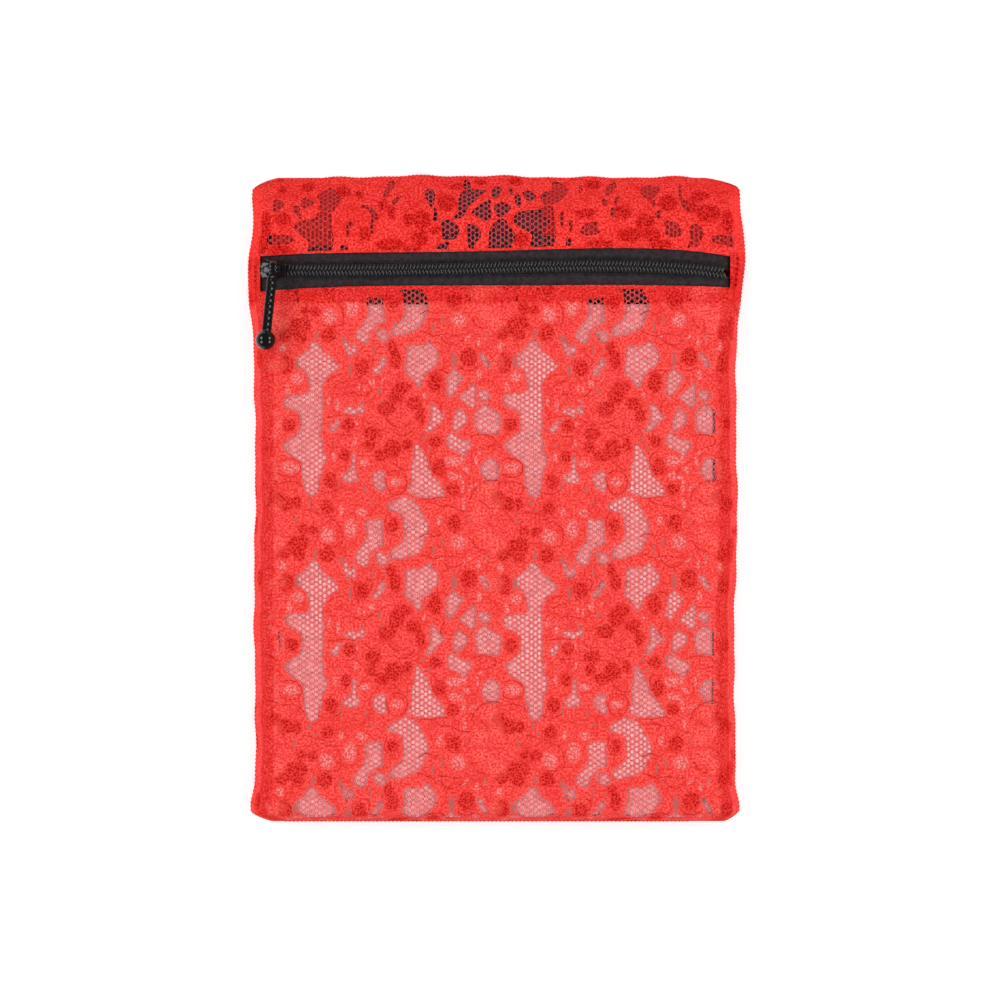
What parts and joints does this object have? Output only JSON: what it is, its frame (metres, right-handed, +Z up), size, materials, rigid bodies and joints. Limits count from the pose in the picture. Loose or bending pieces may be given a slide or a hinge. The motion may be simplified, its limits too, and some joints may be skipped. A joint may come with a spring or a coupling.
{
  "type": "insulin cooling case",
  "caption": "Flat red lace zip pouch holding a gel-filled cooling insert for insulin pens, with a black coil zip across the front, a slider and a ball-ended pull.",
  "frame": {"origin": "middle of the back face that the case lies on", "axes": "+X along the zip away from its closed end, +Y towards the top fold, +Z up out of the front"},
  "size_m": [0.1542, 0.201, 0.0189],
  "materials": {
    "lace": "red floral lace on net",
    "lining": "matt black woven cloth",
    "insert_cloth": "pale woven cloth",
    "gel": "swollen clear gel",
    "zip_tape": "black knitted tape",
    "zip_coil": "black nylon coil",
    "lacquered_metal": "glossy black lacquer"
  },
  "bodies": {
    "case": {"back_lace_panel": "lace", "header_lace_panel": "lace", "left_side_seam": "lace", "right_side_seam": "lace", "zip_tape_upper": "zip_tape", "zip_tape_lower_left_end": "zip_tape", "zip_tape_lower_right_end": "zip_tape", "zip_coil_upper": "zip_coil", "zip_coil_lower_left_end": "zip_coil", "zip_coil_lower_right_end": "zip_coil", "insert_rear_lower_cloth": "insert_cloth", "insert_rear_upper_cloth": "insert_cloth", "insert_front_lower_cloth": "insert_cloth", "insert_front_upper_cloth": "insert_cloth", "insert_left_join": "insert_cloth", "insert_right_join": "insert_cloth", "insert_bottom_join": "insert_cloth", "rear_gel_channel_1": "gel", "rear_gel_channel_2": "gel", "rear_gel_channel_3": "gel", "rear_gel_channel_4": "gel", "front_gel_channel_1": "gel", "front_gel_channel_2": "gel", "front_gel_channel_3": "gel", "front_gel_channel_4": "gel", "back_lining": "lining"},
    "front_lip": {"front_lace_panel": "lace", "zip_tape_lower": "zip_tape", "zip_coil_lower": "zip_coil"},
    "slider": {"slider_body": "lacquered_metal", "slider_bridge": "lacquered_metal"},
    "pull": {"zip_pull": "lacquered_metal"}
  },
  "joints": [
    {"name": "zip_slide", "type": "slide", "parent": "case", "child": "slider", "axis": [1, 0, 0], "range_m": [0, 0.1372]},
    {"name": "pull_swing", "type": "hinge", "parent": "slider", "child": "pull", "pos_m": [-0.0695, 0.0722, 0.01665], "axis": [-1, 0, 0], "range_deg": [0, 170]},
    {"name": "mouth_open", "type": "hinge", "parent": "case", "child": "front_lip", "pos_m": [0, -0.1001, 0.0013], "axis": [1, 0, 0], "range_deg": [0, 10]}
  ]
}
